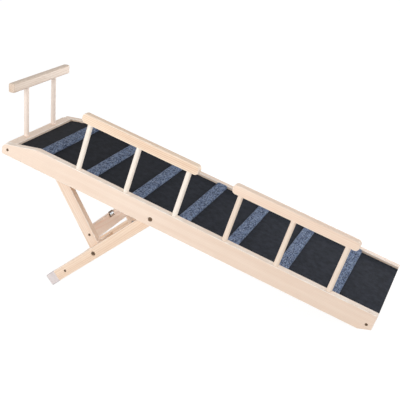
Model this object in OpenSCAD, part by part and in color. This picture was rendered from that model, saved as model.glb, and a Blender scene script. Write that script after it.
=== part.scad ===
// Folding ramp for a small dog or cat, standing open at a sofa or bed.
// Points marked (u, w) lie in the side view of the sloping deck: u runs down the slope
// from the bend, w stands square to the slope, and w = 0 is the top edge of the side boards.
// v runs across the ramp from the near board's outer face.

/* [Deck] */
// Length of the slope from the bend to the low end
slope_len = 1220; // [1100:10:1400]
// Length of the platform from the bend to the high end
platform_len = 136; // [120:1:180]
// Angle between the platform and the slope
platform_tilt = 14.5; // [10:0.5:18]
// Clear width between the side boards
clear_w = 370; // [320:5:450]
// Height of a side board
board_h = 68; // [66:1:80]
// Thickness of a side board
board_t = 24; // [24:1:30]
// Depth of the mat below the board tops
mat_depth = 8; // [5:1:8]
// Thickness of the mat
mat_t = 3; // [2:0.5:3]
// Thickness of the deck panels
panel_t = 9; // [6:1:9]
// Width of a tread strip
strip_w = 40; // [30:1:60]
// Height of a tread strip above the mat
strip_h = 10; // [6:1:16]
// Pitch of the tread strips
strip_pitch = 174; // [150:1:176]

/* [Rails and guard] */
// Pitch of the rail posts
post_pitch = 180; // [160:1:182]
// Distance of the first rail post from the bend
post_start = 155; // [140:1:160]
// Diameter of the round posts
post_d = 17.5; // [14:0.5:18]
// Height of the side rails' lower face above the boards
rail_lift = 163; // [120:1:220]
// Height of the guard rail's lower face above the platform
guard_lift = 171; // [120:1:220]
// Distance between the two guard posts
guard_pitch = 180; // [120:1:240]
// Depth of the post sockets
socket_depth = 30; // [20:1:30]

/* [Leg frame] */
// Distance of the leg pivots from the bend
pivot_u = 446; // [430:1:460]
// Depth of the leg pivots below the board tops
pivot_drop = 45; // [44:1:46]
// Length of a leg from its pivot to the end of its foot
leg_len = 501; // [480:1:520]
// Angle between the legs and the slope
leg_angle = 55; // [52:0.5:58]
// Distance from the leg pivot to the strut pivot
strut_joint = 280; // [270:1:290]
// Angle between the struts and the slope
strut_angle = 43.4; // [42:0.1:45]
// Depth of the strut rod below the board tops
rod_drop = 58; // [56:1:58]
// Width of the leg and strut timber
timber_w = 40; // [36:1:40]
// Thickness of the leg and strut timber
timber_t = 24; // [20:1:26]

/* [Fits] */
// Radial clearance of a post in its socket
socket_gap = 0.08; // [0.05:0.01:0.1]
// Radial clearance of a pivot bolt in the piece that turns on it
pivot_gap = 0.05; // [0.03:0.01:0.1]
// Radial clearance of the strut rod in a rack notch
notch_gap = 0.5; // [0.3:0.1:1]
// Thickness of the pivot washers
washer_t = 1.5; // [1:0.5:2]

/* [Hidden] */
$fn = 48;

outer_w = clear_w + 2 * board_t;
mid_v = outer_w / 2;
panel_depth = mat_depth + mat_t;
panel_floor = panel_depth + panel_t;
groove = 3;
board_corner_r = 20;
bar_w = 46;
bar_h = 40;
bar_edge_r = 14;
batten_w = 56;
batten_h = 12;
low_bar_t = 24;
low_bar_set = 9;
bevel_lead = 7;
panel_set = 2;
rail_h = 32;
rail_over = 31;
rail_end_r = 13;
rail_socket = 18;
guard_h = 32;
guard_short = 24;
guard_edge_r = 6;
screw_r = 2.25;
screw_head_r = 4.8;
screw_head_h = 3;
screw_sink = 1.5;
screw_len = 45;
screw_drive_r = 2;
screw_drive_depth = 2;
head_room = 0.2;
pilot_spare = 3;
bar_screw_depth = 20;
low_screw_depth = 41;
bolt_r = 4;
bolt_head_r = 7;
bolt_head_h = 5;
bolt_sink = 2;
bolt_drive_r = 3;
bolt_drive_depth = 3;
tip_inset = 1;
nut_r = 7;
nut_h = 6;
washer_r = 10;
counterbore_r = 8;
nut_room = 8;
nut_inset = 1.5;
cap_len = 38;
cap_wall = 2;
cap_floor = 3;
cap_proud = 0.5;
cap_edge_r = 4;
spreader_from_end = 81;
spreader_t = 24;
cross_from_joint = 61;
cross_w = 46;
cross_t = 30;
cross_set = -3;
rod_r = 8;
rod_end_gap = 2;
rack_t = 22;
rack_notches = 4;
notch_pitch = 56;
rack_edge = 27;
rack_rise = 2;
catch_w = 32;
catch_plate_w = 14;
catch_plate_t = 2;
plate_screw_r = 2.2;
plate_screw_h = 1;
plate_screw_edge = 4;
tongue_w = 24;
tongue_len = 14;
tongue_root = 7;
tongue_t = 1.2;
tongue_bow = 2.4;
tongue_roll_r = 2.4;
keeper_len = 24;
keeper_w = 44;
keeper_t = 1.2;
strip_set = 1;
strip_edge_r = 4;
strip_side_gap = 0.5;

// A point at s along the platform and h above it, as (u, w)
function plat(s, h) = [-s * cos(platform_tilt) - h * sin(platform_tilt),
                       -s * sin(platform_tilt) + h * cos(platform_tilt)];
// Where the bend's mitre line crosses a depth below the tops
function mitre_u(depth) = depth * tan(platform_tilt / 2);
function along(angle, length) = [length * cos(angle), length * sin(angle)];
function square_to(p) = [-p[1], p[0]];
function arc(centre, r, from, to, steps = 8) =
    [for (i = [0:steps]) centre + along(from + (to - from) * i / steps, r)];
function round_box(x0, x1, y0, y1, r) = concat(
    arc([x1 - r, y1 - r], r, 0, 90), arc([x0 + r, y1 - r], r, 90, 180),
    arc([x0 + r, y0 + r], r, 180, 270), arc([x1 - r, y0 + r], r, 270, 360));

// The leg hangs from its pivot, and the strut runs from the leg up to the rack
leg_dir = 180 + leg_angle;
strut_dir = 180 - strut_angle;
pivot = [pivot_u, -pivot_drop];
joint = pivot + along(leg_dir, strut_joint);
strut_len = (-rod_drop - joint[1]) / sin(strut_dir);
rod = joint + along(strut_dir, strut_len);

// Folding turns the leg by fold_turn, and the strut turns back on it until both lie in line
fold_turn = 360 - leg_dir;
fold_ratio = -(strut_dir - leg_angle) / fold_turn;
rod_path = square_to(joint - pivot) + (1 + fold_ratio) * square_to(rod - joint);
notch_dir = atan2(rod_path[1], rod_path[0]);

// The floor touches the foot's round edge and the bevel under the low end
bevel_start = [slope_len - low_bar_set - low_bar_t - bevel_lead, -board_h];
foot_edge = pivot + along(leg_dir, leg_len - cap_edge_r)
    + along(leg_dir + 90, timber_w / 2 + cap_proud - cap_edge_r);
floor_run = bevel_start - foot_edge;
slope = atan2(floor_run[1], floor_run[0]) + asin(cap_edge_r / norm(floor_run));
function floor_w(u) = bevel_start[1] + (u - bevel_start[0]) * tan(slope);

// The origin is on the floor, under the middle of the low end bar
low_bar_u0 = slope_len - low_bar_set - low_bar_t;
low_bar_u1 = slope_len - low_bar_set;
origin_u = (low_bar_u0 + low_bar_u1) / 2;
origin_w = floor_w(origin_u);

leg_v = board_t + washer_t;
leg_in_v = leg_v + timber_t;
strut_v = leg_in_v + washer_t;
strut_in_v = strut_v + timber_t;
bar_mid_s = platform_len - bar_w / 2;
bar_screw = plat(bar_mid_s, -bar_screw_depth);
low_screw = [origin_u, -low_screw_depth];
spreader_from_pivot = leg_len - spreader_from_end;

wood = "#e9c9ae";
wood_shade = "#dcb998";
mat_black = "#2b2c30";
carpet = "#5d6a80";
steel = "#8b8d90";
dark_steel = "#3a3633";
cap_grey = "#b9b6c4";

module in_ramp() {
    rotate([0, slope, 0])
        translate([-origin_u, -mid_v, -origin_w])
            children();
}

module in_platform() {
    rotate([0, -platform_tilt, 0]) children();
}

// Local x runs down the leg from its pivot, local z points to its underside
module in_leg() {
    translate([pivot[0], 0, pivot[1]]) rotate([0, -leg_dir, 0]) children();
}

// Local x runs up the strut from its pivot
module in_strut() {
    translate([joint[0], 0, joint[1]]) rotate([0, -strut_dir, 0]) children();
}

// Mirrors a near piece to the far side
module far_side() {
    translate([0, outer_w, 0]) mirror([0, 1, 0]) children();
}

// Extrudes an outline of the side view from v0 across a thickness
module plate(outline, v0, t) {
    translate([0, v0 + t, 0]) rotate([90, 0, 0]) linear_extrude(t) polygon(outline);
}

// A round bar or hole along v, centred on a point of the side view
module across(p, r, v0, length) {
    translate([p[0], v0 + length, p[1]]) rotate([90, 0, 0]) cylinder(r = r, h = length);
}

function board_outline() = concat(
    [[0, 0], [slope_len, 0], [slope_len, floor_w(slope_len)], bevel_start],
    [plat(platform_len, 0) + (-board_h - plat(platform_len, 0)[1])
        / -cos(platform_tilt) * [sin(platform_tilt), -cos(platform_tilt)]],
    arc(plat(platform_len - board_corner_r, -board_corner_r), board_corner_r,
        180 + platform_tilt, 90 + platform_tilt));

function slope_layer(top, bottom, low_u) =
    [[mitre_u(top), -top], [low_u, -top], [low_u, -bottom], [mitre_u(bottom), -bottom]];

function platform_layer(top, bottom, s) =
    [[mitre_u(top), -top], [mitre_u(bottom), -bottom], plat(s, -bottom), plat(s, -top)];

// The way of a screw through the timber whose outer face is at v0
module screw_hole(p, v0, t) {
    across(p, screw_head_r + head_room, v0 - 1, 1 + screw_sink + screw_head_h);
    across(p, screw_r, v0 - 1, t + 2);
}

// The rest of its way, in the timber that it holds
module pilot_hole(p, v0, t) {
    across(p, screw_r, v0 + t - 1, screw_sink + screw_len + pilot_spare - t + 1);
}

module socket(u) {
    translate([u, board_t / 2, -socket_depth])
        cylinder(d = post_d + 2 * socket_gap, h = socket_depth + 1);
}

module side_board(with_sockets) {
    color(wood) difference() {
        plate(board_outline(), 0, board_t);
        plate(slope_layer(panel_depth, panel_floor, slope_len - panel_set), board_t - groove, groove + 1);
        plate(platform_layer(panel_depth, panel_floor, platform_len - bar_w),
              board_t - groove, groove + 1);
        across(pivot, bolt_r, -1, board_t + 2);
        across(pivot, counterbore_r, -1, 1 + bolt_sink + bolt_head_h);
        screw_hole(bar_screw, 0, board_t);
        screw_hole(low_screw, 0, board_t);
        if (with_sockets)
            for (i = [0:5]) socket(post_start + i * post_pitch);
    }
}

module top_cross_bar() {
    x0 = -platform_len;
    x1 = -platform_len + bar_w;
    color(wood) difference() {
        in_platform()
            plate(concat([[x0, -bar_h], [x1, -bar_h], [x1, 0]],
                         arc([x0 + bar_edge_r, -bar_edge_r], bar_edge_r, 90, 180)),
                  board_t, clear_w);
        for (side = [0, 1])
            in_platform()
                translate([-bar_mid_s, mid_v + (side - 0.5) * guard_pitch, -socket_depth])
                    cylinder(d = post_d + 2 * socket_gap, h = socket_depth + 1);
        pilot_hole(bar_screw, 0, board_t);
        far_side() pilot_hole(bar_screw, 0, board_t);
    }
}

module low_end_bar() {
    color(wood_shade) difference() {
        plate([[low_bar_u0, -panel_floor], [low_bar_u0, floor_w(low_bar_u0)],
               [low_bar_u1, floor_w(low_bar_u1)], [low_bar_u1, -panel_floor]],
              board_t, clear_w);
        pilot_hole(low_screw, 0, board_t);
        far_side() pilot_hole(low_screw, 0, board_t);
    }
}

module platform_panel() {
    color(wood_shade)
        plate(platform_layer(panel_depth, panel_floor, platform_len - bar_w),
              board_t - groove, clear_w + 2 * groove);
}

module slope_panel() {
    color(wood_shade)
        plate(slope_layer(panel_depth, panel_floor, slope_len - panel_set),
              board_t - groove, clear_w + 2 * groove);
}

// Ties both panels together under the bend
module bend_batten() {
    low = panel_floor + batten_h;
    color(wood_shade)
        plate([[mitre_u(panel_floor), -panel_floor], [batten_w / 2, -panel_floor],
               [batten_w / 2, -low], [mitre_u(low), -low],
               plat(batten_w / 2, -low), plat(batten_w / 2, -panel_floor)],
              board_t, clear_w);
}

module grip_mat() {
    color(mat_black)
        plate([[mitre_u(mat_depth), -mat_depth], [slope_len, -mat_depth],
               [slope_len, -panel_depth], [mitre_u(panel_depth), -panel_depth],
               plat(platform_len - bar_w, -panel_depth), plat(platform_len - bar_w, -mat_depth)],
              board_t, clear_w);
}

// A carpet-covered strip across the mat
module tread_strip(i) {
    u0 = mitre_u(mat_depth) + strip_set + (i - 1) * strip_pitch;
    top = strip_h - mat_depth;
    r = strip_edge_r;
    color(carpet)
        plate(concat([[u0, -mat_depth], [u0 + strip_w, -mat_depth]],
                     arc([u0 + strip_w - r, top - r], r, 0, 90, 4),
                     arc([u0 + r, top - r], r, 90, 180, 4)),
              board_t + strip_side_gap, clear_w - 2 * strip_side_gap);
}

// A notched batten that catches the strut rod, with lower settings further down
module rack() {
    u0 = rod[0] - rack_edge;
    u1 = rod[0] + (rack_notches - 1) * notch_pitch + 2 * rack_edge;
    r = rod_r + notch_gap;
    color(wood_shade) difference() {
        plate([[u0, -panel_floor], [u0, -board_h + rack_rise],
               [u1, -board_h + rack_rise], [u1, -panel_floor]], board_t, rack_t);
        for (i = [0:rack_notches - 1]) {
            centre = rod + [i * notch_pitch, 0];
            side = along(notch_dir + 90, r);
            out = along(notch_dir, 4 * rod_r);
            across(centre, r, board_t - 1, rack_t + 2);
            plate([centre + side, centre - side, centre - side + out, centre + side + out],
                  board_t - 1, rack_t + 2);
        }
    }
}

// Two low screw heads standing on a thin plate, towards its ends
module plate_screws(x, z, width) {
    for (side = [-1, 1])
        translate([x, mid_v + side * (width / 2 - plate_screw_edge), z])
            cylinder(r = plate_screw_r, h = plate_screw_h + 1);
}

// The steel plate under the deck that the fold catch meets
module catch_keeper() {
    u = pivot_u + strut_joint - cross_from_joint - cross_w / 2;
    z = -panel_floor - keeper_t;
    color(steel) {
        translate([u - keeper_len / 2, mid_v - keeper_w / 2, z])
            cube([keeper_len, keeper_w, keeper_t]);
        plate_screws(u, z - plate_screw_h, keeper_w);
    }
}

module wood_screw(p, v0) {
    difference() {
        union() {
            across(p, screw_head_r, v0 + screw_sink, screw_head_h);
            across(p, screw_r, v0 + screw_sink, screw_len);
        }
        translate([p[0], v0 + screw_sink + screw_drive_depth, p[1]])
            rotate([90, 0, 0])
                cylinder(r = screw_drive_r, h = screw_drive_depth + 1, $fn = 6);
    }
}

module frame_screws() {
    color(dark_steel)
        for (p = [bar_screw, low_screw]) {
            wood_screw(p, 0);
            far_side() wood_screw(p, 0);
        }
}

// A socket-head bolt whose head is sunk below the face at v0 and whose tip ends at v1
module pivot_bolt(p, v0, v1) {
    difference() {
        union() {
            across(p, bolt_head_r, v0 + bolt_sink, bolt_head_h);
            across(p, bolt_r, v0 + bolt_sink, v1 - v0 - bolt_sink);
        }
        translate([p[0], v0 + bolt_sink + bolt_drive_depth, p[1]])
            rotate([90, 0, 0])
                cylinder(r = bolt_drive_r, h = bolt_drive_depth + 1, $fn = 6);
    }
}

module pivot_nut(p, v1) {
    difference() {
        translate([p[0], v1, p[1]]) rotate([90, 0, 0]) cylinder(r = nut_r, h = nut_h, $fn = 6);
        across(p, bolt_r, v1 - nut_h - 1, nut_h + 2);
    }
}

module pivot_washer(p, v0) {
    difference() {
        across(p, washer_r, v0, washer_t);
        across(p, bolt_r, v0 - 1, washer_t + 2);
    }
}

module leg_bolts() {
    color(dark_steel) {
        pivot_bolt(pivot, 0, leg_in_v - tip_inset);
        far_side() pivot_bolt(pivot, 0, leg_in_v - tip_inset);
    }
}

module leg_nuts() {
    color(steel) {
        pivot_nut(pivot, leg_in_v - nut_inset);
        far_side() pivot_nut(pivot, leg_in_v - nut_inset);
    }
}

module leg_washers() {
    color(steel) {
        pivot_washer(pivot, board_t);
        far_side() pivot_washer(pivot, board_t);
    }
}

module leg() {
    half = timber_w / 2;
    tenon = half + cap_proud - cap_wall;
    shoulder = leg_len - cap_len;
    color(wood) difference() {
        union() {
            in_leg()
                plate(concat(arc([0, 0], half, 90, 270, 16),
                             [[shoulder, -half], [shoulder, half]]), leg_v, timber_t);
            in_leg()
                plate([[shoulder - 1, -tenon], [leg_len - cap_floor, -tenon],
                       [leg_len - cap_floor, tenon], [shoulder - 1, tenon]],
                      leg_v - cap_proud + cap_wall, timber_t + 2 * (cap_proud - cap_wall));
        }
        across(pivot, bolt_r + pivot_gap, leg_v - 1, timber_t + 2);
        across(pivot, counterbore_r, leg_in_v - nut_room, nut_room + 1);
        across(joint, bolt_r, leg_v - 1, timber_t + 2);
        across(joint, counterbore_r, leg_v - 1, 1 + bolt_sink + bolt_head_h);
        in_leg() screw_hole([spreader_from_pivot, 0], leg_v, timber_t);
    }
}

module leg_spreader() {
    color(wood) in_leg() difference() {
        translate([spreader_from_pivot - timber_w / 2, leg_in_v, -spreader_t / 2])
            cube([timber_w, outer_w - 2 * leg_in_v, spreader_t]);
        pilot_hole([spreader_from_pivot, 0], leg_v, timber_t);
        far_side() pilot_hole([spreader_from_pivot, 0], leg_v, timber_t);
    }
}

module foot_cap() {
    half = timber_w / 2 + cap_proud;
    tenon = half - cap_wall;
    start = leg_len - cap_len;
    r = cap_edge_r;
    color(cap_grey) in_leg() difference() {
        plate(concat([[start, half], [start, -half]],
                     arc([leg_len - r, -half + r], r, -90, 0),
                     arc([leg_len - r, half - r], r, 0, 90)),
              leg_v - cap_proud, timber_t + 2 * cap_proud);
        plate([[start - 1, -tenon], [leg_len - cap_floor, -tenon],
               [leg_len - cap_floor, tenon], [start - 1, tenon]],
              leg_v - cap_proud + cap_wall, timber_t + 2 * (cap_proud - cap_wall));
    }
}

module spreader_screws() {
    color(dark_steel) {
        in_leg() wood_screw([spreader_from_pivot, 0], leg_v);
        far_side() in_leg() wood_screw([spreader_from_pivot, 0], leg_v);
    }
}

module strut_bolts() {
    color(dark_steel) {
        pivot_bolt(joint, leg_v, strut_in_v - tip_inset);
        far_side() pivot_bolt(joint, leg_v, strut_in_v - tip_inset);
    }
}

module strut_nuts() {
    color(steel) {
        pivot_nut(joint, strut_in_v - nut_inset);
        far_side() pivot_nut(joint, strut_in_v - nut_inset);
    }
}

module strut_washers() {
    color(steel) {
        pivot_washer(joint, leg_in_v);
        far_side() pivot_washer(joint, leg_in_v);
    }
}

module strut() {
    half = timber_w / 2;
    color(wood_shade) difference() {
        in_strut()
            plate(concat(arc([0, 0], half, 90, 270, 16),
                         arc([strut_len, 0], half, -90, 90, 16)), strut_v, timber_t);
        across(joint, bolt_r + pivot_gap, strut_v - 1, timber_t + 2);
        across(joint, counterbore_r, strut_in_v - nut_room, nut_room + 1);
        across(rod, rod_r, strut_v - 1, timber_t + 2);
        in_strut() screw_hole([cross_from_joint, cross_set], strut_v, timber_t);
    }
}

// The round rod at the top of the struts, whose ends rest in the rack notches
module strut_rod() {
    end_v = board_t + rod_end_gap;
    color(wood) across(rod, rod_r, end_v, outer_w - 2 * end_v);
}

module strut_cross_board() {
    color(wood_shade) in_strut() difference() {
        translate([cross_from_joint - cross_w / 2, strut_in_v, cross_set - cross_t / 2])
            cube([cross_w, outer_w - 2 * strut_in_v, cross_t]);
        pilot_hole([cross_from_joint, cross_set], strut_v, timber_t);
        far_side() pilot_hole([cross_from_joint, cross_set], strut_v, timber_t);
    }
}

module cross_board_screws() {
    color(dark_steel) {
        in_strut() wood_screw([cross_from_joint, cross_set], strut_v);
        far_side() in_strut() wood_screw([cross_from_joint, cross_set], strut_v);
    }
}

// A steel plate on the cross board, with a bowed spring tongue whose tip is rolled
module fold_catch() {
    top = cross_from_joint + cross_w / 2;
    outside = cross_set - cross_t / 2 - catch_plate_t;
    root = top - tongue_root;
    tip = root + tongue_len - tongue_roll_r;
    bow = concat([[root, outside]],
                 [for (i = [0:10]) [top + (tip - top) * i / 10, outside - tongue_bow * sin(18 * i)]]);
    color(steel) in_strut() {
        translate([top - catch_plate_w, mid_v - catch_w / 2, outside])
            cube([catch_plate_w, catch_w, catch_plate_t]);
        plate_screws(top - catch_plate_w + plate_screw_edge, outside - plate_screw_h, catch_w);
        plate(concat(bow, [for (i = [len(bow) - 1:-1:0]) bow[i] - [0, tongue_t]]),
              mid_v - tongue_w / 2, tongue_w);
        across([tip, outside - tongue_t + tongue_roll_r], tongue_roll_r, mid_v - tongue_w / 2, tongue_w);
    }
}

function rail_mid(section) = post_start + (section == 1 ? 1 : 4) * post_pitch;

module rail(section) {
    half = post_pitch + rail_over;
    mid = rail_mid(section);
    color(wood) difference() {
        plate(round_box(mid - half, mid + half, rail_lift, rail_lift + rail_h, rail_end_r),
              0, board_t);
        for (i = [-1:1])
            translate([mid + i * post_pitch, board_t / 2, rail_lift - 1])
                cylinder(d = post_d, h = rail_socket + 1);
    }
}

module rail_post(section, i) {
    color(wood)
        translate([rail_mid(section) + (i - 2) * post_pitch, board_t / 2, -socket_depth])
            cylinder(d = post_d, h = socket_depth + rail_lift + rail_socket);
}

// The guard's rail is rounded the same way in its section, from the front and from above
module guard_rail() {
    x0 = -bar_mid_s - board_t / 2;
    x1 = x0 + board_t;
    v0 = guard_short;
    v1 = outer_w - guard_short;
    top = guard_lift + guard_h;
    color(wood) in_platform() difference() {
        intersection() {
            plate(round_box(x0, x1, guard_lift, top, guard_edge_r), v0, v1 - v0);
            translate([0, 0, guard_lift])
                linear_extrude(guard_h) polygon(round_box(x0, x1, v0, v1, guard_edge_r));
            translate([x0, 0, 0]) rotate([90, 0, 90])
                linear_extrude(board_t) polygon(round_box(v0, v1, guard_lift, top, guard_edge_r));
        }
        for (side = [-0.5, 0.5])
            translate([-bar_mid_s, mid_v + side * guard_pitch, guard_lift - 1])
                cylinder(d = post_d, h = rail_socket + 1);
    }
}

module guard_post(side) {
    color(wood) in_platform()
        translate([-bar_mid_s, mid_v + side * guard_pitch / 2, -socket_depth])
            cylinder(d = post_d, h = socket_depth + guard_lift + rail_socket);
}

in_ramp() side_board(true);  // near_side_board
in_ramp() far_side() side_board(false);  // far_side_board
in_ramp() top_cross_bar();
in_ramp() low_end_bar();
in_ramp() platform_panel();
in_ramp() slope_panel();
in_ramp() bend_batten();
in_ramp() grip_mat();
in_ramp() tread_strip(1);  // tread_strip_1
in_ramp() tread_strip(2);  // tread_strip_2
in_ramp() tread_strip(3);  // tread_strip_3
in_ramp() tread_strip(4);  // tread_strip_4
in_ramp() tread_strip(5);  // tread_strip_5
in_ramp() tread_strip(6);  // tread_strip_6
in_ramp() tread_strip(7);  // tread_strip_7
in_ramp() rack();  // near_rack
in_ramp() far_side() rack();  // far_rack
in_ramp() catch_keeper();
in_ramp() frame_screws();
in_ramp() leg_bolts();
in_ramp() leg_nuts();
in_ramp() leg_washers();
in_ramp() leg();  // near_leg
in_ramp() far_side() leg();  // far_leg
in_ramp() leg_spreader();
in_ramp() foot_cap();  // near_foot_cap
in_ramp() far_side() foot_cap();  // far_foot_cap
in_ramp() spreader_screws();
in_ramp() strut_bolts();
in_ramp() strut_nuts();
in_ramp() strut_washers();
in_ramp() strut();  // near_strut
in_ramp() far_side() strut();  // far_strut
in_ramp() strut_rod();
in_ramp() strut_cross_board();
in_ramp() cross_board_screws();
in_ramp() fold_catch();
in_ramp() rail(1);  // upper_rail
in_ramp() rail_post(1, 1);  // upper_rail_post_1
in_ramp() rail_post(1, 2);  // upper_rail_post_2
in_ramp() rail_post(1, 3);  // upper_rail_post_3
in_ramp() rail(2);  // lower_rail
in_ramp() rail_post(2, 1);  // lower_rail_post_1
in_ramp() rail_post(2, 2);  // lower_rail_post_2
in_ramp() rail_post(2, 3);  // lower_rail_post_3
in_ramp() guard_rail();
in_ramp() guard_post(-1);  // guard_post_near
in_ramp() guard_post(1);  // guard_post_far
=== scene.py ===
import math

import bmesh
import bpy
import numpy as np
from mathutils import Euler, Matrix, Vector, noise


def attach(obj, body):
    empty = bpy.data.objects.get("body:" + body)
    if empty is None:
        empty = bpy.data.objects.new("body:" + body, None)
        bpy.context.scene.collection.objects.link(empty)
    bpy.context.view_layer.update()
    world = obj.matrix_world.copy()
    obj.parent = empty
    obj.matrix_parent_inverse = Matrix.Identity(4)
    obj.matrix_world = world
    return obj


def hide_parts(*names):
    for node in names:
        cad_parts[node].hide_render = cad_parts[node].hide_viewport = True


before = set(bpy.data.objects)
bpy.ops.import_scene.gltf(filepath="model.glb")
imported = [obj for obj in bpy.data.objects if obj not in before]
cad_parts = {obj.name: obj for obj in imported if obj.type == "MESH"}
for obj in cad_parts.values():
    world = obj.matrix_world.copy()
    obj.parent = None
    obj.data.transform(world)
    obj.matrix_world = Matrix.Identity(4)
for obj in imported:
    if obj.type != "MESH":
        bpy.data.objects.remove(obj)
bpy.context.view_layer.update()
print("frame loaded,", len(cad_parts), "nodes")


# camera at the photograph's viewing angle
camera = {
    "place": (0.4434, -2.58316, 1.22834), "turn": (71.5062, 2.3003, 21.2826),
    "lens": 78.015, "sensor": 36, "reach": 100,
}
cameraData = bpy.data.cameras.new("camera")
cameraData.lens = camera["lens"]
cameraData.sensor_width = camera["sensor"]
cameraData.clip_end = camera["reach"]
cameraObject = bpy.data.objects.new("camera", cameraData)
cameraObject.location = camera["place"]
cameraObject.rotation_euler = Euler([math.radians(a) for a in camera["turn"]], "XYZ")
bpy.context.scene.collection.objects.link(cameraObject)
bpy.context.scene.camera = cameraObject
bpy.context.scene.view_settings.view_transform = "Standard"
print("camera placed")


# the ramp's own directions in the shared frame, from its angles in degrees
angles = {"slope": 21.588, "bend": 14.5, "leg": 55, "strut": 43.4}


def pointing(degrees):
    turn = math.radians(degrees)
    return Vector((math.cos(turn), 0, -math.sin(turn)))


downSlope = pointing(angles["slope"])
downPlatform = pointing(angles["slope"] - angles["bend"])
alongLeg = pointing(angles["slope"] - angles["leg"])
alongStrut = pointing(angles["slope"] + angles["strut"])
acrossRamp = Vector((0, 1, 0))
squareSlope = downSlope.cross(acrossRamp)
squarePlatform = downPlatform.cross(acrossRamp)


# a colour as it shows on screen, from 0 to 255, turned into the shader's own scale
def linear(red, green, blue):
    return tuple(((c / 255 + 0.055) / 1.055) ** 2.4 for c in (red, green, blue)) + (1,)


# small helpers for building node trees
def newMaterial(name):
    material = bpy.data.materials.new(name)
    material.use_nodes = True
    tree = material.node_tree
    return material, tree, tree.nodes["Principled BSDF"]


def connect(tree, node, links):
    for socket, source in links:
        if isinstance(source, bpy.types.NodeSocket):
            tree.links.new(source, node.inputs[socket])
        else:
            node.inputs[socket].default_value = source
    return node


def addNode(tree, kind, links=(), **values):
    node = tree.nodes.new("ShaderNode" + kind)
    for key, value in values.items():
        setattr(node, key, value)
    return connect(tree, node, links)


def mathNode(tree, operation, first, second=0.0, clamp=False):
    links = [(0, first), (1, second)]
    return addNode(tree, "Math", links, operation=operation, use_clamp=clamp).outputs[0]


def plus(tree, first, second, clamp=False):
    return mathNode(tree, "ADD", first, second, clamp)


def times(tree, first, second):
    return mathNode(tree, "MULTIPLY", first, second)


def mixColours(tree, factor, first, second, blend="MIX"):
    links = [(0, factor), (6, first), (7, second)]
    return addNode(tree, "Mix", links, data_type="RGBA", blend_type=blend).outputs[2]


def scaledVector(tree, vector, scale):
    return addNode(tree, "VectorMath", [(0, vector), (1, scale)], operation="MULTIPLY").outputs[0]


def noiseValue(tree, vector, scale, detail=2.0, roughness=0.5):
    links = [("Vector", vector), ("Scale", scale), ("Detail", detail), ("Roughness", roughness)]
    return addNode(tree, "TexNoise", links).outputs["Fac"]


def remap(tree, value, low, high, newLow=0.0, newHigh=1.0):
    links = [(0, value), (1, low), (2, high), (3, newLow), (4, newHigh)]
    return addNode(tree, "MapRange", links).outputs[0]


def addBump(tree, shader, height, strength, distance):
    links = [("Height", height), ("Strength", strength), ("Distance", distance)]
    tree.links.new(addNode(tree, "Bump", links).outputs[0], shader.inputs["Normal"])


def grainPlace(tree):
    return addNode(tree, "Attribute", attribute_name="grainPos").outputs["Vector"]


def edgeMark(tree):
    return addNode(tree, "Attribute", attribute_name="edgeFace").outputs["Fac"]


def objectPlace(tree):
    return addNode(tree, "TexCoord").outputs["Object"]


def newGroup(name, inputs, outputs):
    group = bpy.data.node_groups.new(name, "ShaderNodeTree")
    for label, kind, value in inputs:
        socket = group.interface.new_socket(label, in_out="INPUT", socket_type="NodeSocket" + kind)
        if value is not None:
            socket.default_value = value
    for label, kind in outputs:
        group.interface.new_socket(label, in_out="OUTPUT", socket_type="NodeSocket" + kind)
    return group, group.nodes.new("NodeGroupInput"), group.nodes.new("NodeGroupOutput")


def placeGroup(tree, group, links):
    node = tree.nodes.new("ShaderNodeGroup")
    node.node_tree = group
    return connect(tree, node, links)


# how pine grows: noise scales along and across the grain, and how far the rings wander in metres
pine = {
    "wander": (1.6, 9, 9), "wanderBy": 0.022, "ripple": (9, 60, 60), "rippleBy": 0.0012,
    "streak": (1.3, 48, 48), "fibre": (14, 900, 900), "blotch": (3, 14, 14),
    "lateStart": 0.25, "lateEnd": 0.9, "lateCurve": 2.2,
}


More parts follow.
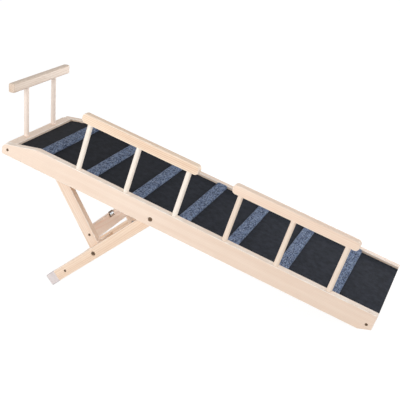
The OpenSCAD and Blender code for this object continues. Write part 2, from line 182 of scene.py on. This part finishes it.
# planed pine: growth rings round a pith, streaks and fibres along the grain
def buildGrain():
    inputs = [
        ("Position", "Vector", None), ("Early", "Color", (1, 1, 1, 1)), ("Late", "Color", (1, 1, 1, 1)),
        ("Ring Pitch", "Float", 0.004), ("Rings", "Float", 0.5), ("Streaks", "Float", 0.5),
        ("Fibres", "Float", 0.5), ("Roughness", "Float", 0.5),
    ]
    outputs = [("Color", "Color"), ("Roughness", "Float"), ("Height", "Float")]
    group, start, end = newGroup("pineGrain", inputs, outputs)
    asked = start.outputs

    def stretched(name, detail, roughness=0.5):
        return noiseValue(group, scaledVector(group, asked["Position"], pine[name]), 1.0, detail, roughness)

    parts = addNode(group, "SeparateXYZ", [(0, asked["Position"])]).outputs
    squares = [mathNode(group, "POWER", mathNode(group, "ABSOLUTE", parts[i]), 2.0) for i in (1, 2)]
    radius = mathNode(group, "SQRT", plus(group, *squares))
    radius = plus(group, radius, times(group, stretched("wander", 2.0), pine["wanderBy"]))
    radius = plus(group, radius, times(group, stretched("ripple", 1.0), pine["rippleBy"]))
    phase = mathNode(group, "FRACT", mathNode(group, "DIVIDE", radius, asked["Ring Pitch"]))
    rise = remap(group, phase, pine["lateStart"], pine["lateEnd"])  # darkens slowly, then ends sharply
    fall = remap(group, phase, pine["lateEnd"], 1.0, 1.0, 0.0)
    ring = times(group, mathNode(group, "POWER", rise, pine["lateCurve"]), fall)
    ring = times(group, ring, asked["Rings"])
    streak = times(group, remap(group, stretched("streak", 3.0, 0.6), 0.35, 0.7), asked["Streaks"])
    fine = remap(group, stretched("fibre", 3.0, 0.65), 0.3, 0.75)
    fibre = times(group, fine, asked["Fibres"])
    blotch = remap(group, stretched("blotch", 2.0), 0.3, 0.75, -0.12, 0.16)
    amount = plus(group, plus(group, ring, streak), plus(group, fibre, blotch), True)
    colour = mixColours(group, amount, asked["Early"], asked["Late"])
    rough = plus(group, asked["Roughness"], times(group, fine, 0.14), True)
    height = plus(group, times(group, fine, 0.6), times(group, ring, 0.8))
    group.links.new(colour, end.inputs["Color"])
    group.links.new(rough, end.inputs["Roughness"])
    group.links.new(height, end.inputs["Height"])
    return group


# handled edges: a lighter tone that comes and goes along the arrises, partly real wear and partly a painted
# highlight where the edges catch the light; flats marked on the same layer get this painted highlight too
def buildEdgeWearAndHighlight():
    inputs = [
        ("Position", "Vector", None), ("Edge", "Float", 0.0), ("Color", "Color", (1, 1, 1, 1)),
        ("WornAndHighlight", "Color", (1, 1, 1, 1)), ("Amount", "Float", 0.5),
    ]
    group, start, end = newGroup("edgeWearAndHighlight", inputs, [("Color", "Color")])
    asked = start.outputs
    patches = noiseValue(group, scaledVector(group, asked["Position"], (30, 30, 30)), 1.0, 3.0)
    patches = remap(group, patches, 0.35, 0.65, 0.35, 1.0)
    mask = times(group, times(group, asked["Edge"], patches), asked["Amount"])
    group.links.new(mixColours(group, mask, asked["Color"], asked["WornAndHighlight"]), end.inputs["Color"])
    return group


grainGroup = buildGrain()
wearAndHighlightGroup = buildEdgeWearAndHighlight()


def woodMaterial(name, look):
    material, tree, shader = newMaterial(name)
    position = grainPlace(tree)
    grain = placeGroup(tree, grainGroup, [
        ("Position", position), ("Early", linear(*look["early"])), ("Late", linear(*look["late"])),
        ("Ring Pitch", look["ringPitch"]), ("Rings", look["rings"]), ("Streaks", look["streaks"]),
        ("Fibres", look["fibres"]), ("Roughness", look["rough"])])
    wornAndHighlight = placeGroup(tree, wearAndHighlightGroup, [
        ("Position", position), ("Edge", edgeMark(tree)), ("Color", grain.outputs["Color"]),
        ("WornAndHighlight", linear(*look["wornAndHighlight"])), ("Amount", look["wearAndHighlight"])])
    tree.links.new(wornAndHighlight.outputs["Color"], shader.inputs["Base Color"])
    tree.links.new(grain.outputs["Roughness"], shader.inputs["Roughness"])
    addBump(tree, shader, grain.outputs["Height"], look["bump"], look["relief"])
    shader.inputs["Coat Weight"].default_value = look["varnish"]
    shader.inputs["Coat Roughness"].default_value = look["varnishRough"]
    return material


# the boards' near-white edge tone, laid on strongly, is partly wear and partly a painted highlight along
# their edges
boardLook = {
    "early": (246, 226, 208), "late": (226, 196, 172), "wornAndHighlight": (255, 249, 241), "wearAndHighlight": 0.95,
    "ringPitch": 0.0042, "rings": 0.28, "streaks": 0.3, "fibres": 0.24, "rough": 0.46,
    "bump": 0.35, "relief": 0.00025, "varnish": 0.12, "varnishRough": 0.32,
}
railLook = dict(boardLook, early=(254, 234, 210), late=(220, 181, 149), wearAndHighlight=0.3, ringPitch=0.0056,
                rings=0.6, streaks=0.34, fibres=0.26, rough=0.42, varnish=0.18)
smoothRailLook = dict(railLook, early=(252, 230, 209), late=(226, 190, 164), rings=0.3)
guardLook = dict(railLook, early=(226, 206, 188), late=(194, 166, 140), wearAndHighlight=0.12, rings=0.5)
legLook = dict(boardLook, early=(248, 226, 204), late=(224, 190, 160), wearAndHighlight=0.7, rings=0.5, streaks=0.34)
strutLook = dict(legLook, early=(247, 226, 207), late=(225, 195, 169))
# painted light: the cross board sits in the deck's shade and gets a lighter copy of the strut wood
litCrossLook = dict(legLook, early=(255, 240, 226), late=(248, 214, 194))
dowelLook = dict(boardLook, early=(255, 247, 236), late=(236, 218, 200), wearAndHighlight=0.35, ringPitch=0.0026,
                 rings=0.22, streaks=0.26, fibres=0.24, rough=0.5, varnish=0.06)
# painted shade: a darker copy of the dowel wood for the lower section's posts, where the light falls off
shadedDowelLook = dict(dowelLook, early=(248, 231, 214), late=(230, 206, 184))
guardDowelLook = dict(dowelLook, early=(252, 239, 228), late=(234, 213, 198))
innerLook = dict(boardLook, early=(226, 198, 166), late=(196, 160, 122), wearAndHighlight=0.2, rings=0.45,
                 rough=0.62, varnish=0.0)
boardWood = woodMaterial("boardWood", boardLook)
railWood = woodMaterial("railWood", railLook)
smoothRailWood = woodMaterial("smoothRailWood", smoothRailLook)
guardWood = woodMaterial("guardWood", guardLook)
legWood = woodMaterial("legWood", legLook)
strutWood = woodMaterial("strutWood", strutLook)
litCrossWood = woodMaterial("litCrossWood", litCrossLook)
dowelWood = woodMaterial("dowelWood", dowelLook)
shadedDowelWood = woodMaterial("shadedDowelWood", shadedDowelLook)
guardDowelWood = woodMaterial("guardDowelWood", guardDowelLook)
innerWood = woodMaterial("innerWood", innerLook)
print("wood finishes made")


# reading the frame's solids: lengths in metres, turns in degrees
reading = {"weld": 2e-6, "flatTurn": 0.5, "sharpTurn": 35, "smoothTurn": 38}
random = np.random.default_rng(41)


def cadPoints(node):
    return np.array([v.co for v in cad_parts[node].data.vertices])


def cadShape(node):
    shape = bmesh.new()
    shape.from_mesh(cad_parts[node].data)
    bmesh.ops.remove_doubles(shape, verts=shape.verts, dist=reading["weld"])
    bmesh.ops.dissolve_limit(shape, angle_limit=math.radians(reading["flatTurn"]),
                             verts=shape.verts[:], edges=shape.edges[:])
    return shape


def isSharp(edge):
    turn = math.radians(reading["sharpTurn"])
    return len(edge.link_faces) == 2 and edge.is_convex and edge.calc_face_angle(0) > turn


def bevelEdges(shape, edges, width, steps, clamp=False):
    made = bmesh.ops.bevel(shape, geom=edges, offset=width, offset_type="OFFSET", segments=steps,
                           profile=0.5, affect="EDGES", clamp_overlap=clamp)
    return set(made["faces"])


# the long outline only: rims of holes stay crisp, and faces too narrow for the rounding are left out
outline = {"reach": 0.03, "room": 1.6}


def easeOutline(shape, width, steps):
    left = {e for e in shape.edges if isSharp(e)}
    chosen = []
    while left:
        stack, chain = [left.pop()], []
        while stack:
            edge = stack.pop()
            chain.append(edge)
            for other in {o for v in edge.verts for o in v.link_edges} & left:
                left.remove(other)
                stack.append(other)
        points = np.array([v.co for e in chain for v in e.verts])
        if np.ptp(points, axis=0).max() > outline["reach"]:
            chosen += chain
    room = outline["room"] * width
    chosen = [e for e in chosen if min(f.calc_area() for f in e.link_faces) > room * e.calc_length()]
    shape.edges.index_update()
    chosen.sort(key=lambda e: e.index)  # the same order in each run
    return bevelEdges(shape, chosen, width, steps)


# edgeFaces are rounded edges, and the other list holds flats painted pale, a painted highlight where light
# catches them
def finishMesh(name, shape, material, smoothTurn=reading["smoothTurn"], edgeFaces=(), highlitFaces=()):
    bmesh.ops.recalc_face_normals(shape, faces=shape.faces[:])
    shape.faces.index_update()
    marks = {face.index: boards["paintedHighlight"] for face in highlitFaces}
    marks.update((face.index, 1.0) for face in edgeFaces)
    mark = shape.faces.layers.float.new("edgeFace")
    for face in shape.faces:
        face.smooth = True
        face[mark] = marks.get(face.index, 0.0)
    for edge in shape.edges:
        edge.smooth = edge.calc_face_angle(0) < math.radians(smoothTurn)
    mesh = bpy.data.meshes.new(name)
    shape.to_mesh(mesh)
    shape.free()
    mesh.materials.append(material)
    piece = bpy.data.objects.new(name, mesh)
    bpy.context.scene.collection.objects.link(piece)
    return piece


def evenNormals(piece):
    weighted = piece.modifiers.new("normals", "WEIGHTED_NORMAL")
    weighted.weight = 100
    weighted.keep_sharp = True


# each piece carries its own grain: x runs along it, and the shift sets where its pith lies
def markGrain(piece, along, shift):
    points = np.array([v.co for v in piece.data.vertices])
    along = np.array(along.normalized())
    lengthwise = abs(along[1]) < 0.9
    side = np.cross((0, 1, 0), along) if lengthwise else np.cross(along, (0, 0, 1))
    side /= np.linalg.norm(side)
    axes = np.array([along, side, np.cross(along, side)])
    place = (points - points.mean(0)) @ axes.T + np.array(shift)
    layer = piece.data.attributes.new("grainPos", "FLOAT_VECTOR", "POINT")
    layer.data.foreach_set("vector", place.astype(np.float32).ravel())


def settle(piece, body, slot, *nodes):
    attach(piece, body)
    if nodes:
        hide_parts(*nodes)
    return piece


# a piece cut from the frame's own solid: cut says how its edges are eased and how far off its pith lies
def timber(node, body, slot, material, along, cut, highlitTop=False):
    shape = cadShape(node)
    edgeFaces = easeOutline(shape, cut["ease"], cut["steps"])
    shape.normal_update()
    # a highlit top's upward flats get a painted highlight: the edge layer paints them pale
    highlitFaces = [face for face in shape.faces if highlitTop and face.normal.z > boards["topFaces"]]
    piece = finishMesh(node + "_wood", shape, material, edgeFaces=edgeFaces, highlitFaces=highlitFaces)
    turn = random.uniform(0, 2 * math.pi)
    turn = cut.get("pithTurn", turn)
    shift = (random.uniform(-3, 3), cut["pith"] * math.cos(turn), cut["pith"] * math.sin(turn))
    markGrain(piece, along, shift)
    evenNormals(piece)
    return settle(piece, body, slot, node)


boards = {"ease": 0.0018, "steps": 3, "pith": 0.09, "paintedHighlight": 0.5, "topFaces": 0.8}
# the near board's top is painted pale, a painted highlight
for node, highlit in (("near_side_board", True), ("far_side_board", False)):
    timber(node, "deck", "pine", boardWood, downSlope, boards, highlit)
timber("top_cross_bar", "deck", "pine", boardWood, acrossRamp, boards)

# what holds the deck up from below, and the panels under the mat
battens = {"ease": 0.001, "steps": 2, "pith": 0.04}
for node, along in (("low_end_bar", acrossRamp), ("near_rack", downSlope), ("far_rack", downSlope),
                    ("bend_batten", acrossRamp)):
    timber(node, "deck", "pine", innerWood, along, battens)
panels = {"ease": 0.0006, "steps": 2, "pith": 0.3}
for node, along in (("platform_panel", acrossRamp), ("slope_panel", downSlope)):
    timber(node, "deck", "panel_ply", innerWood, along, panels)

rails = {"ease": 0.003, "steps": 4, "pith": 0.045, "pithTurn": 0.3}
dowels = {"ease": 0.0008, "steps": 2, "pith": 0.02}
for section, wood, postWood in (("upper", railWood, dowelWood), ("lower", smoothRailWood, shadedDowelWood)):
    body = section + "_rail_section"
    timber(section + "_rail", body, "pine", wood, downSlope, rails)
    for i in (1, 2, 3):
        timber("%s_rail_post_%d" % (section, i), body, "dowel_wood", postWood, squareSlope, dowels)


# a plain bar between the node's furthest faces, rounded along all its edges
def roundedBar(node, axes, radius, steps):
    points = cadPoints(node) @ np.array(axes).T
    low, high = points.min(0), points.max(0)
    shape = bmesh.new()
    bmesh.ops.create_cube(shape, size=1)
    turn = Matrix([list(a) for a in axes]).transposed()
    for vertex in shape.verts:
        place = [low[i] + (vertex.co[i] + 0.5) * (high[i] - low[i]) for i in range(3)]
        vertex.co = turn @ Vector(place)
    return shape, bevelEdges(shape, shape.edges[:], radius, steps)


guard = {"round": 0.006, "steps": 6, "grainShift": (1.7, 0.02, 0.04)}
guardAxes = (downPlatform, acrossRamp, squarePlatform)
shape, edgeFaces = roundedBar("guard_rail", guardAxes, guard["round"], guard["steps"])
guardRail = finishMesh("guard_rail_wood", shape, guardWood, edgeFaces=edgeFaces)
markGrain(guardRail, acrossRamp, guard["grainShift"])
evenNormals(guardRail)
settle(guardRail, "end_guard", "pine", "guard_rail")
for side in ("near", "far"):
    timber("guard_post_" + side, "end_guard", "dowel_wood", guardDowelWood, squarePlatform, dowels)

legs = {"ease": 0.002, "steps": 3, "pith": 0.05}
for side in ("near", "far"):
    timber(side + "_leg", "leg_frame", "pine", legWood, alongLeg, legs)
    timber(side + "_strut", "strut_frame", "pine", strutWood, alongStrut, legs)
timber("leg_spreader", "leg_frame", "pine", legWood, acrossRamp, legs)
timber("strut_cross_board", "strut_frame", "pine", litCrossWood, acrossRamp, legs)
timber("strut_rod", "strut_frame", "dowel_wood", dowelWood, acrossRamp, dowels)
print("timber made")


# how far down the deck a point lies: the covers use it for painted light, darker towards the top and lighter
# towards the low end
paintedLightRamp = {"from": -1.15, "to": -0.3}


def towardsLowEnd(tree):
    place = addNode(tree, "SeparateXYZ", [(0, objectPlace(tree))])
    return remap(tree, place.outputs[0], paintedLightRamp["from"], paintedLightRamp["to"])


# grip mat: one matt sheet bent over the top, with a fine pebbled face
mat = {
    "ease": 0.0006, "bendEase": 0.004, "bendTurn": (8, 30),
    "shadedTop": ((10, 11, 14), (27, 28, 33)), "litLowEnd": ((19, 23, 31), (39, 43, 54)), "grit": (58, 63, 74),
    "pebbleScale": 620.0, "toneScale": 40.0, "gritScale": 1500.0, "specular": 0.14,
}


def buildMatFinish():
    material, tree, shader = newMaterial("gripMatting")
    place = grainPlace(tree)
    pebbles = addNode(tree, "TexVoronoi", [("Vector", place), ("Scale", mat["pebbleScale"])],
                      feature="SMOOTH_F1")
    tone = noiseValue(tree, scaledVector(tree, place, (1, 0.5, 1)), mat["toneScale"], 5.0, 0.7)
    grit = noiseValue(tree, place, mat["gritScale"], 2.0)
    mottle = remap(tree, tone, 0.35, 0.65)
    # painted light: the sheet runs from darker at the top to lighter at the low end, where more light falls
    # on it
    shadedTop = mixColours(tree, mottle, *[linear(*c) for c in mat["shadedTop"]])
    litLowEnd = mixColours(tree, mottle, *[linear(*c) for c in mat["litLowEnd"]])
    colour = mixColours(tree, towardsLowEnd(tree), shadedTop, litLowEnd)
    gritty = remap(tree, grit, 0.45, 0.75, 0.0, 0.35)
    colour = mixColours(tree, gritty, colour, linear(*mat["grit"]))
    tree.links.new(colour, shader.inputs["Base Color"])
    tree.links.new(remap(tree, grit, 0.2, 0.8, 0.72, 0.92), shader.inputs["Roughness"])
    shader.inputs["Specular IOR Level"].default_value = mat["specular"]
    addBump(tree, shader, pebbles.outputs["Distance"], 0.5, 0.0006)
    return material


shape = cadShape("grip_mat")
lowTurn, highTurn = [math.radians(a) for a in mat["bendTurn"]]
bends = [e for e in shape.edges if len(e.link_faces) == 2 and lowTurn < e.calc_face_angle(0) < highTurn]
bevelEdges(shape, bends, mat["bendEase"], 4, clamp=True)
bevelEdges(shape, [e for e in shape.edges if isSharp(e)], mat["ease"], 2, clamp=True)
gripMat = finishMesh("mat_sheet", shape, buildMatFinish())
markGrain(gripMat, downSlope, (0, 0, 0))
evenNormals(gripMat)
settle(gripMat, "deck", "grip_mat", "grip_mat")
print("mat made")


# tread strips: short heather pile, rounded over and slightly uneven
strips = {
    "grid": 0.0022, "corner": 0.0068, "firstTurn": 0.4, "pinch": 0.10,
    "pile": 0.0008, "pileFrom": 0.15, "pileSink": 0.6, "gritScales": (330, 120),
    "dark": (40, 52, 82), "light": (120, 138, 170), "fleck": (184, 197, 216), "root": (27, 34, 55),
    "stretch": (0.38, 1, 1), "tuftScale": 230.0, "patchScale": 70.0, "fleckScale": 330.0,
    "paintedShadeAtTop": 0.66,
}


def buildCarpet():
    material, tree, shader = newMaterial("heatherCarpet")
    place = grainPlace(tree)
    tuft = noiseValue(tree, scaledVector(tree, place, strips["stretch"]), strips["tuftScale"], 4.0, 0.7)
    patch = noiseValue(tree, place, strips["patchScale"], 3.0, 0.6)
    fleck = noiseValue(tree, scaledVector(tree, place, strips["stretch"]), strips["fleckScale"], 3.0, 0.6)
    blend = remap(tree, plus(tree, times(tree, tuft, 0.65), times(tree, patch, 0.35)), 0.4, 0.58)
    colour = mixColours(tree, blend, linear(*strips["dark"]), linear(*strips["light"]))
    flecks = remap(tree, fleck, 0.54, 0.64, 0.0, 0.7)
    colour = mixColours(tree, flecks, colour, linear(*strips["fleck"]))
    roots = remap(tree, tuft, 0.44, 0.36, 0.0, 0.7)
    colour = mixColours(tree, roots, colour, linear(*strips["root"]))
    # painted shade: the strips are painted darker towards the top, where less light falls on them
    paintedShade = remap(tree, towardsLowEnd(tree), 0.0, 1.0, strips["paintedShadeAtTop"], 1.0)
    colour = mixColours(tree, 1.0, colour, paintedShade, "MULTIPLY")
    tree.links.new(colour, shader.inputs["Base Color"])
    shader.inputs["Roughness"].default_value = 0.95
    shader.inputs["Specular IOR Level"].default_value = 0.12
    shader.inputs["Sheen Weight"].default_value = 0.08
    shader.inputs["Sheen Roughness"].default_value = 0.5
    addBump(tree, shader, fleck, 0.7, 0.0012)
    return material


# the strip's section: up one side, round the corner, along the top and down again
def stripSection(lowU, highU, lowW, highW):
    radius = strips["corner"]
    rise = highW - lowW - radius
    flat = highU - lowU - 2 * radius
    count = int(flat / strips["grid"])
    turns = np.linspace(strips["firstTurn"], math.pi / 2, 4)
    corner = [(radius * (1 - math.cos(a)), highW - radius + radius * math.sin(a)) for a in turns]
    section = [(lowU, lowW + rise * k / 2) for k in (0, 1, 2)]
    section += [(lowU + inset, w) for inset, w in corner]
    section += [(lowU + radius + flat * k / count, highW) for k in range(1, count + 1)]
    section += [(highU - inset, w) for inset, w in corner[-2::-1]]
    section += [(highU, lowW + rise * k / 2) for k in (2, 1, 0)]
    return section


def carpetStrip(index, carpet):
    node = "tread_strip_%d" % index
    points = cadPoints(node)
    (lowU, highU), (lowY, highY), (lowW, highW) = [
        ((points @ np.array(axis)).min(), (points @ np.array(axis)).max())
        for axis in (downSlope, acrossRamp, squareSlope)]
    section = stripSection(lowU, highU, lowW, highW)
    middleU = (lowU + highU) / 2
    rows = int((highY - lowY) / strips["grid"])
    shape = bmesh.new()
    rings = []
    for r in range(rows + 1):
        y = lowY + (highY - lowY) * r / rows
        inset = min(y - lowY, highY - y)
        pinch = 1 - strips["pinch"] * max(0.0, 1 - inset / strips["corner"]) ** 2  # ends drawn in
        ring = []
        for u, w in section:
            place = downSlope * (middleU + (u - middleU) * pinch) + squareSlope * (lowW + (w - lowW) * pinch)
            ring.append(shape.verts.new((place.x, y, place.z)))
        rings.append(ring)
    for a, b in zip(rings, rings[1:]):
        for k in range(len(section)):
            shape.faces.new((a[k - 1], a[k], b[k], b[k - 1]))
    shape.faces.new(rings[0])
    shape.faces.new(rings[-1][::-1])
    shape.normal_update()
    fine, coarse = strips["gritScales"]
    for vertex in shape.verts:
        height = (vertex.co.dot(squareSlope) - lowW) / (highW - lowW)
        if height > strips["pileFrom"]:
            grit = noise.noise(vertex.co * fine) + 0.6 * noise.noise(vertex.co * coarse)
            vertex.co += vertex.normal * strips["pile"] * (grit * min(1, height) - strips["pileSink"])
    piece = finishMesh("carpet_strip_%d" % index, shape, carpet, smoothTurn=60)
    markGrain(piece, acrossRamp, (index * 0.37, 0, 0))
    return settle(piece, "deck", "strip_carpet", node)


heatherCarpet = buildCarpet()
for index in range(1, 8):
    carpetStrip(index, heatherCarpet)
print("tread strips made")


# screws, bolts, nuts and washers
def metalMaterial(name, look):
    material, tree, shader = newMaterial(name)
    place = objectPlace(tree)
    spots = remap(tree, noiseValue(tree, place, 260.0, 4.0, 0.6), 0.35, 0.7)
    scratch = noiseValue(tree, scaledVector(tree, place, (900, 60, 900)), 1.0, 2.0)
    rough = remap(tree, scratch, 0.3, 0.7, look["rough"] - 0.08, look["rough"] + 0.1)
    colour = mixColours(tree, spots, linear(*look["dark"]), linear(*look["light"]))
    tree.links.new(colour, shader.inputs["Base Color"])
    tree.links.new(rough, shader.inputs["Roughness"])
    shader.inputs["Metallic"].default_value = look["metal"]
    addBump(tree, shader, scratch, 0.25, 0.0001)
    return material


darkLook = {"dark": (96, 78, 62), "light": (150, 126, 104), "rough": 0.42, "metal": 0.8}
zincLook = {"dark": (128, 132, 137), "light": (178, 181, 184), "rough": 0.4, "metal": 0.9}
darkSteel = metalMaterial("darkSteel", darkLook)
zincSteel = metalMaterial("zincSteel", zincLook)


def fitting(node, body, slot, material, ease):
    shape = cadShape(node)
    bevelEdges(shape, [e for e in shape.edges if isSharp(e)], ease, 2, clamp=True)
    piece = finishMesh(node + "_metal", shape, material)
    evenNormals(piece)
    return settle(piece, body, slot, node)


fittings = {"headEase": 0.0004, "plateEase": 0.0003}
for node, body in (("frame_screws", "deck"), ("leg_bolts", "deck"), ("spreader_screws", "leg_frame"),
                   ("strut_bolts", "leg_frame"), ("cross_board_screws", "strut_frame")):
    fitting(node, body, "dark_steel", darkSteel, fittings["headEase"])
for node, body in (("leg_nuts", "deck"), ("leg_washers", "deck"), ("catch_keeper", "deck"),
                   ("strut_nuts", "leg_frame"), ("strut_washers", "leg_frame")):
    fitting(node, body, "zinc_steel", zincSteel, fittings["plateEase"])

# the catch: a blackened plate, and a zinc tongue with a dark rolled tip; lengths run up the strut
catch = {"joint": (-0.928208, 0, 0.137265), "root": 0.0766, "top": 0.0841, "face": -0.0202, "roll": 0.0862}
upStrut = -alongStrut
underStrut = Vector((-upStrut.z, 0, upStrut.x))
foldCatch = fitting("fold_catch", "strut_frame", "zinc_steel", zincSteel, fittings["plateEase"])
foldCatch.data.materials.append(darkSteel)
for face in foldCatch.data.polygons:
    offset = face.center - Vector(catch["joint"])
    along, depth = offset.dot(upStrut), offset.dot(underStrut)
    tongue = along > catch["root"] and (depth < catch["face"] or along > catch["top"])
    face.material_index = 0 if tongue and along < catch["roll"] else 1
print("fittings made")


# foot caps: cloudy soft plastic over the ends of the legs
caps = {
    "ease": 0.0024, "steps": 4, "rimSlack": 0.0005, "flatFaces": 0.98,
    "clear": (231, 220, 218), "cloudy": (243, 234, 232), "edge": (146, 142, 154), "rimShadeShare": 0.65,
}


def buildCapFinish():
    material, tree, shader = newMaterial("cloudyPlastic")
    place = objectPlace(tree)
    cloud = noiseValue(tree, place, 60.0, 3.0)
    grit = noiseValue(tree, place, 700.0, 2.0)
    colour = mixColours(tree, remap(tree, cloud, 0.3, 0.7), linear(*caps["clear"]), linear(*caps["cloudy"]))
    # painted shade: the rounded rim is painted grey for the dimmer look of the cloudy plastic's curved edges
    edge = times(tree, edgeMark(tree), caps["rimShadeShare"])
    colour = mixColours(tree, edge, colour, linear(*caps["edge"]))
    tree.links.new(colour, shader.inputs["Base Color"])
    tree.links.new(remap(tree, cloud, 0.3, 0.7, 0.28, 0.42), shader.inputs["Roughness"])
    shader.inputs["Transmission Weight"].default_value = 0.12
    shader.inputs["IOR"].default_value = 1.42
    addBump(tree, shader, grit, 0.15, 0.0003)
    return material


capFinish = buildCapFinish()
capAxes = (alongLeg, acrossRamp, alongLeg.cross(acrossRamp))
for side in ("near", "far"):
    shape = cadShape(side + "_foot_cap")
    rim = max(v.co.dot(alongLeg) for v in shape.verts) - caps["rimSlack"]
    outer = [e for e in shape.edges if isSharp(e) and min(v.co.dot(alongLeg) for v in e.verts) < rim]
    bevelEdges(shape, outer, caps["ease"], caps["steps"])
    shape.normal_update()
    edgeFaces = {f for f in shape.faces if max(abs(f.normal.dot(a)) for a in capAxes) < caps["flatFaces"]}
    cap = finishMesh(side + "_cap_shell", shape, capFinish, edgeFaces=edgeFaces)
    evenNormals(cap)
    settle(cap, "leg_frame", "foot_cap", side + "_foot_cap")
print("foot caps made")


# floor, light and backdrop
studio = {
    "floorSize": 30, "floorTone": (248, 248, 250), "shadowShare": 0.16, "glow": 1.11,
    "backdrop": 1.0, "ambient": 1.02, "zenith": 0.36, "skyBand": (0.1, 0.9),
}


# the pale backdrop shows to the eye and in gloss, and doesn't light the ramp
def seenByEye(tree):
    path = addNode(tree, "LightPath")
    glossy = mathNode(tree, "MAXIMUM", path.outputs["Is Glossy Ray"], path.outputs["Is Transmission Ray"])
    return mathNode(tree, "MAXIMUM", path.outputs["Is Camera Ray"], glossy)


def buildFloor():
    mesh = bpy.data.meshes.new("floor")
    half = studio["floorSize"] / 2
    corners = [(-half, -half, 0), (half, -half, 0), (half, half, 0), (-half, half, 0)]
    mesh.from_pydata(corners, [], [(0, 1, 2, 3)])
    material, tree, shader = newMaterial("paleFloor")
    shader.inputs["Base Color"].default_value = linear(*studio["floorTone"])
    shader.inputs["Roughness"].default_value = 0.9
    shader.inputs["Specular IOR Level"].default_value = 0.1
    glow = addNode(tree, "Emission", [("Color", (1, 1, 1, 1)), ("Strength", studio["glow"])])
    links = [(0, studio["shadowShare"]), (1, glow.outputs[0]), (2, shader.outputs[0])]
    lit = addNode(tree, "MixShader", links)
    shown = addNode(tree, "MixShader", [(0, seenByEye(tree)), (1, shader.outputs[0]), (2, lit.outputs[0])])
    tree.links.new(shown.outputs[0], tree.nodes["Material Output"].inputs["Surface"])
    mesh.materials.append(material)
    floor = bpy.data.objects.new("floor", mesh)
    bpy.context.scene.collection.objects.link(floor)


def buildWorld():
    world = bpy.data.worlds.new("studio")
    world.use_nodes = True
    tree = world.node_tree
    light = tree.nodes["Background"]
    light.inputs["Color"].default_value = (1, 1, 1, 1)
    height = addNode(tree, "SeparateXYZ", [(0, addNode(tree, "TexCoord").outputs["Generated"])]).outputs[2]
    strength = remap(tree, height, *studio["skyBand"], studio["ambient"], studio["zenith"])
    tree.links.new(strength, light.inputs["Strength"])
    white = addNode(tree, "Background", [("Color", (1, 1, 1, 1)), ("Strength", studio["backdrop"])])
    shown = addNode(tree, "MixShader", [(0, seenByEye(tree)), (1, light.outputs[0]), (2, white.outputs[0])])
    tree.links.new(shown.outputs[0], tree.nodes["World Output"].inputs["Surface"])
    bpy.context.scene.world = world


lamps = {
    "keyLamp": {"place": (-1.2, -2.1, 1.1), "target": (-0.75, 0, 0.35), "size": (1.4, 1.2), "power": 16.5},
    "backLamp": {"place": (1.5, 0.9, 1.5), "target": (-0.3, 0, 0.2), "size": (1.4, 1.2), "power": 8.5},
    "lowLamp": {"place": (-0.1, 1.7, 0.3), "target": (-0.85, 0, 0.3), "size": (1.2, 0.5), "power": 11.5},
}


def softLamp(name, lamp):
    data = bpy.data.lights.new(name, "AREA")
    data.shape = "RECTANGLE"
    data.size, data.size_y = lamp["size"]
    data.energy = lamp["power"]
    holder = bpy.data.objects.new(name, data)
    holder.location = lamp["place"]
    aim = Vector(lamp["target"]) - Vector(lamp["place"])
    holder.rotation_euler = aim.to_track_quat("-Z", "Y").to_euler()
    bpy.context.scene.collection.objects.link(holder)


buildFloor()
buildWorld()
for name, lamp in lamps.items():
    softLamp(name, lamp)
print("studio made")
